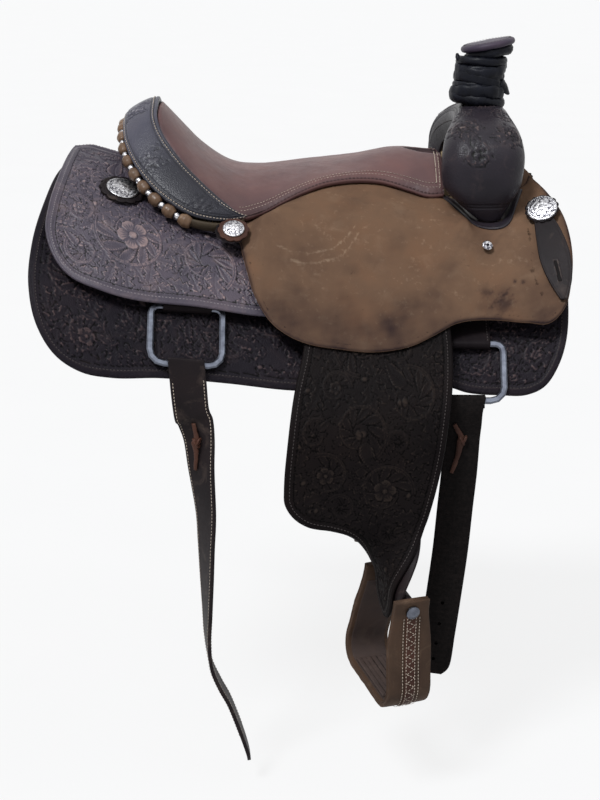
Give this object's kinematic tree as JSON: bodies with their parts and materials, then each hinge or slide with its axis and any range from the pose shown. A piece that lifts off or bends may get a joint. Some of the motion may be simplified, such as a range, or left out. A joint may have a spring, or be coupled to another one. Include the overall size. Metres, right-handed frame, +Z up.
{
  "type": "roping saddle",
  "caption": "Western roping saddle with a rubber-wrapped horn, tooled leather fork, skirts and fenders, hanging stirrups, steel rigging dees and billets.",
  "frame": {"origin": "middle of the horse's back under the saddle, where the underside of the fleece meets the spine", "axes": "+X towards the horn, +Y to the horse's near (left) side, +Z up"},
  "size_m": [0.69, 0.7119, 0.9285],
  "materials": {
    "tooled_leather": "satin, tooled, dark brown",
    "black_leather": "satin, tooled, near black",
    "seat_leather": "polished, red-brown",
    "roughout_leather": "matt, stained, olive tan",
    "rawhide": "satin, brown",
    "fleece": "woolly, cream",
    "webbing": "ribbed, black",
    "tree_wood": "rawhide-covered",
    "rubber": "matt, black",
    "steel": "worn, polished",
    "iron": "dark",
    "silver": "engraved, bright"
  },
  "bodies": {
    "saddle": {"cantle_back": "tooled_leather", "cantle_beads": "rawhide", "cantle_board": "tree_wood", "cheyenne_roll": "black_leather", "concho_front_near": "silver", "concho_front_off": "silver", "concho_rear_near": "silver", "concho_rear_off": "silver", "concho_seat_near": "silver", "concho_seat_off": "silver", "fork_cover": "tooled_leather", "fork_wood": "tree_wood", "ground_seat": "seat_leather", "horn_cap": "seat_leather", "horn_post": "iron", "horn_wrap": "rubber", "jockey_screw_near": "silver", "jockey_screw_off": "silver", "rear_jockey_near": "black_leather", "rear_jockey_off": "black_leather", "rig_front_near": "tooled_leather", "rig_front_off": "tooled_leather", "rig_rear_near": "tooled_leather", "rig_rear_off": "tooled_leather", "rosette_rear_near": "tooled_leather", "rosette_rear_off": "tooled_leather", "rosette_seat_near": "tooled_leather", "rosette_seat_off": "tooled_leather", "seat": "seat_leather", "seat_jockey_near": "roughout_leather", "seat_jockey_off": "roughout_leather", "skirt_fleece_near": "fleece", "skirt_fleece_off": "fleece", "skirt_near": "black_leather", "skirt_off": "black_leather", "tree_bar_near": "tree_wood", "tree_bar_off": "tree_wood"},
    "leathers_off": {"fender_off": "black_leather", "stirrup_leather_off": "tooled_leather"},
    "leathers_near": {"fender_near": "black_leather", "stirrup_leather_near": "tooled_leather"},
    "stirrup_off": {"stirrup_off": "rawhide", "stirrup_bolt_off": "steel", "stirrup_tread_off": "tooled_leather"},
    "stirrup_near": {"stirrup_near": "rawhide", "stirrup_bolt_near": "steel", "stirrup_tread_near": "tooled_leather"},
    "front_dee_off": {"front_dee_off": "steel"},
    "front_dee_near": {"front_dee_near": "steel"},
    "rear_dee_off": {"rear_dee_off": "steel"},
    "rear_dee_near": {"rear_dee_near": "steel"},
    "billet_off": {"off_billet": "webbing", "off_billet_lace": "rawhide"},
    "latigo": {"latigo": "seat_leather", "latigo_lace": "rawhide"},
    "rear_billet_off": {"rear_billet_off": "tooled_leather", "rear_billet_lace": "rawhide"},
    "rear_billet_near": {"rear_billet_near": "tooled_leather"},
    "rope_strap": {"rope_strap": "tooled_leather"},
    "latigo_keeper": {"latigo_keeper": "tooled_leather"}
  },
  "joints": [
    {"name": "fender_swing_off", "type": "hinge", "parent": "saddle", "child": "leathers_off", "pos_m": [0.0957, -0.17899, -0.034], "axis": [0.0798, -0.8081, 0.5836], "range_deg": [-20, 2]},
    {"name": "fender_swing_near", "type": "hinge", "parent": "saddle", "child": "leathers_near", "pos_m": [0.1, 0.17856, -0.034], "axis": [-0.0798, -0.8081, -0.5836], "range_deg": [-20, 20]},
    {"name": "stirrup_swing_off", "type": "hinge", "parent": "leathers_off", "child": "stirrup_off", "pos_m": [0.12233, -0.30541, -0.4283], "axis": [-0.3644, 0.9063, 0.2141], "range_deg": [-7.5, 30]},
    {"name": "stirrup_swing_near", "type": "hinge", "parent": "leathers_near", "child": "stirrup_near", "pos_m": [0.13212, 0.29574, -0.42516], "axis": [0.2021, 0.9557, -0.2141], "range_deg": [-30, 30]},
    {"name": "front_dee_swing_off", "type": "hinge", "parent": "saddle", "child": "front_dee_off", "pos_m": [0.21215, -0.21955, -0.12466], "axis": [0.9997, 0.0196, -0.0115], "range_deg": [-8, 0]},
    {"name": "front_dee_swing_near", "type": "hinge", "parent": "saddle", "child": "front_dee_near", "pos_m": [0.21215, 0.21955, -0.12466], "axis": [-0.9997, 0.0196, 0.0115], "range_deg": [-8, 0]},
    {"name": "rear_dee_swing_off", "type": "hinge", "parent": "saddle", "child": "rear_dee_off", "pos_m": [-0.14303, -0.22909, -0.07523], "axis": [-0.9849, -0.1425, 0.0984], "range_deg": [0, 15]},
    {"name": "rear_dee_swing_near", "type": "hinge", "parent": "saddle", "child": "rear_dee_near", "pos_m": [-0.14303, 0.22909, -0.07523], "axis": [0.9849, -0.1425, -0.0984], "range_deg": [0, 15]},
    {"name": "billet_swing_off", "type": "hinge", "parent": "front_dee_off", "child": "billet_off", "pos_m": [0.21215, -0.25782, -0.18974], "axis": [0.9997, 0.0196, -0.0115], "range_deg": [-10, 8]},
    {"name": "latigo_swing", "type": "hinge", "parent": "front_dee_near", "child": "latigo", "pos_m": [0.21215, 0.25782, -0.18974], "axis": [-0.9997, 0.0196, 0.0115], "range_deg": [-10, 8]},
    {"name": "rear_billet_swing_off", "type": "hinge", "parent": "rear_dee_off", "child": "rear_billet_off", "pos_m": [-0.14303, -0.27312, -0.13901], "axis": [-0.9849, -0.1425, 0.0984], "range_deg": [-2, 12]},
    {"name": "rear_billet_swing_near", "type": "hinge", "parent": "rear_dee_near", "child": "rear_billet_near", "pos_m": [-0.14303, 0.27312, -0.13901], "axis": [0.9849, -0.1425, -0.0984], "range_deg": [-2, 12]},
    {"name": "rope_strap_turn", "type": "hinge", "parent": "saddle", "child": "rope_strap", "pos_m": [0.318, -0.12495, 0.02897], "axis": [-0.2431, -0.6378, 0.7308], "range_deg": [-3, 8]},
    {"name": "latigo_keeper_turn", "type": "hinge", "parent": "saddle", "child": "latigo_keeper", "pos_m": [0.318, 0.12495, 0.02897], "axis": [-0.2431, 0.6378, 0.7308], "range_deg": [-8, 3]}
  ]
}
